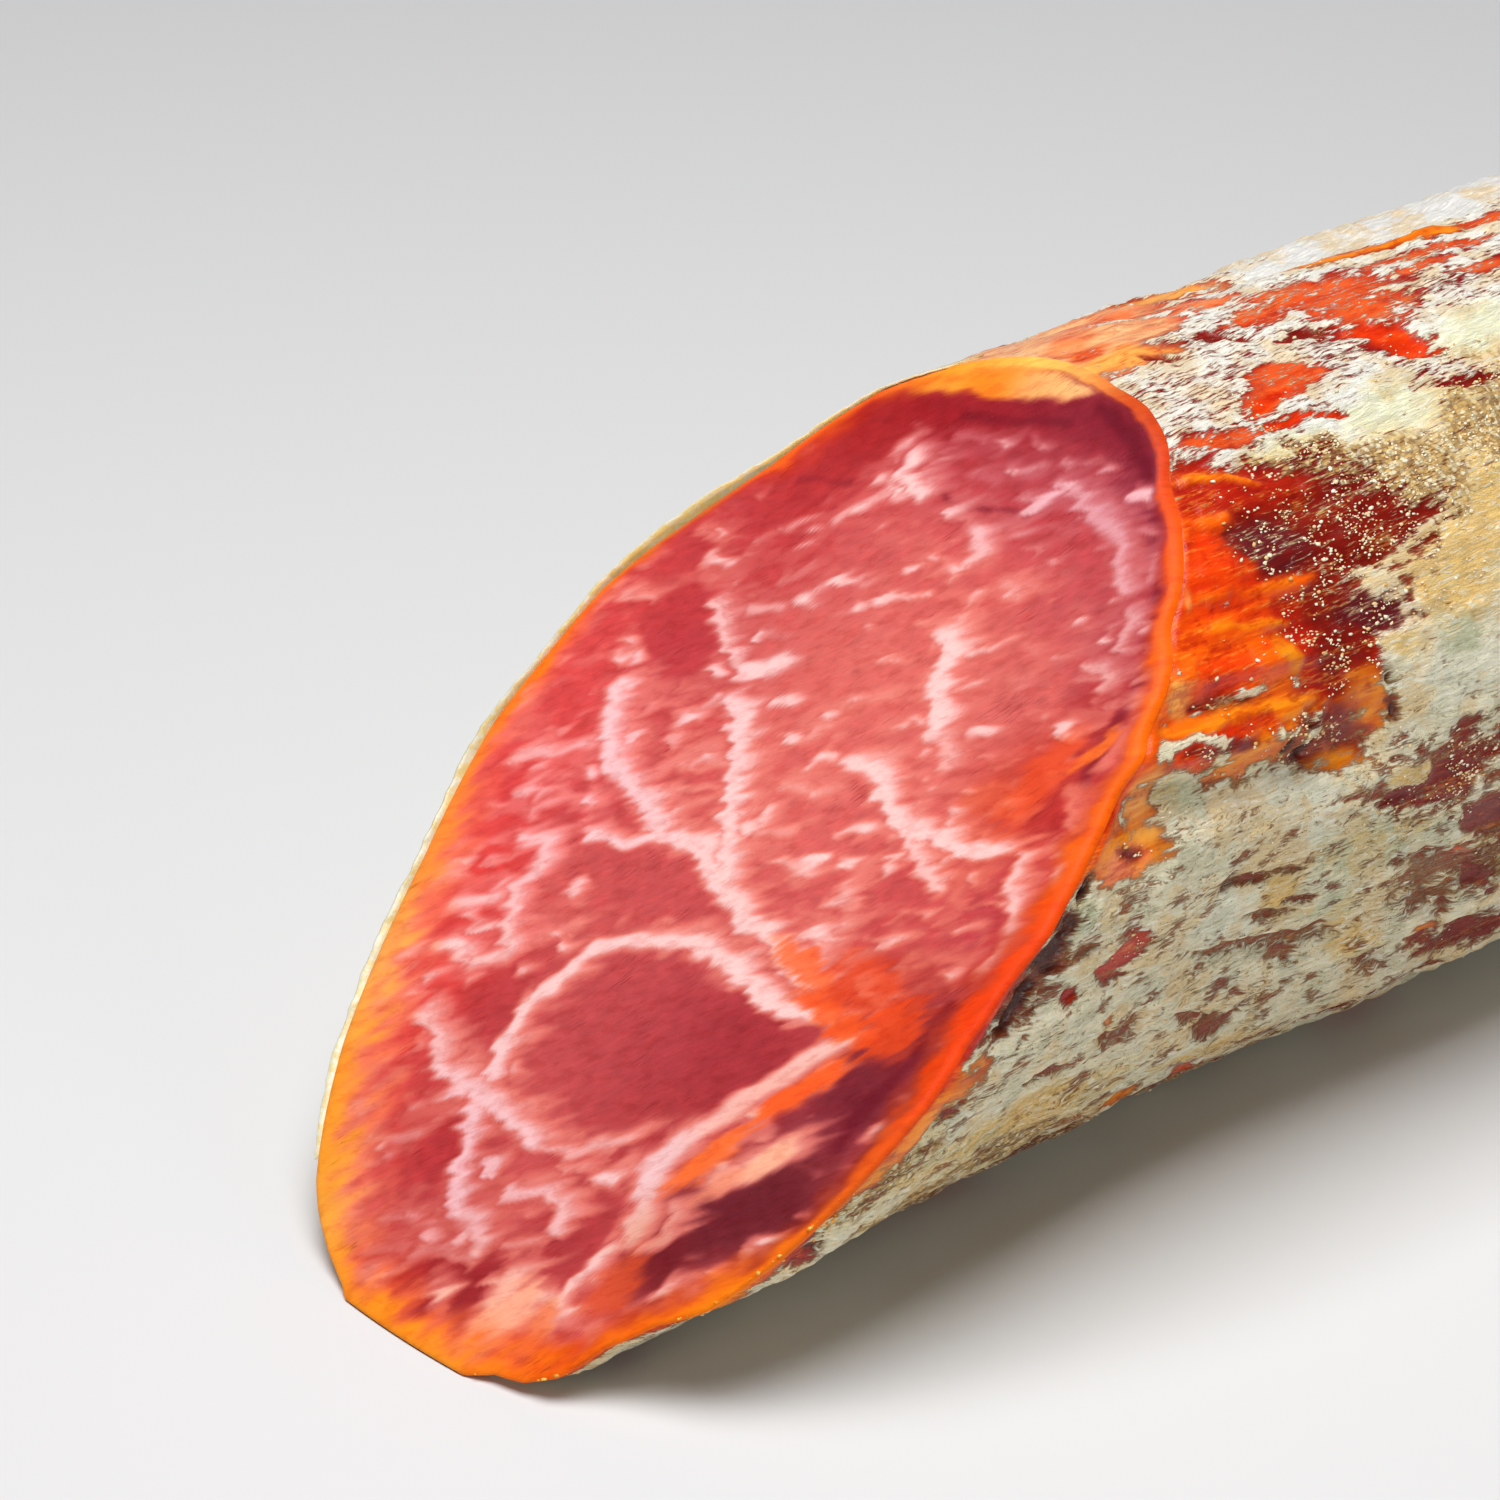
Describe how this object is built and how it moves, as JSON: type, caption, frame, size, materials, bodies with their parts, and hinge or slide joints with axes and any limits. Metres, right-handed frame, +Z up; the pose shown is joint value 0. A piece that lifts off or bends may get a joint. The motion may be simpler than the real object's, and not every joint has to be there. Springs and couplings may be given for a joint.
{
  "type": "cured iberian pork loin",
  "caption": "Dry-cured pork loin in its wrinkled casing, sliced off on a long slant at one end to show the marbled meat, with a gathered round far end.",
  "frame": {"origin": "middle of the footprint, at the height of the table that the loin lies on", "axes": "+X along the loin from the sliced end to the round end, +Z up"},
  "size_m": [0.2802, 0.0742, 0.067],
  "materials": {
    "cured_meat": "satin",
    "casing": "satin"
  },
  "bodies": {
    "root": {"loin": "cured_meat"}
  },
  "joints": []
}
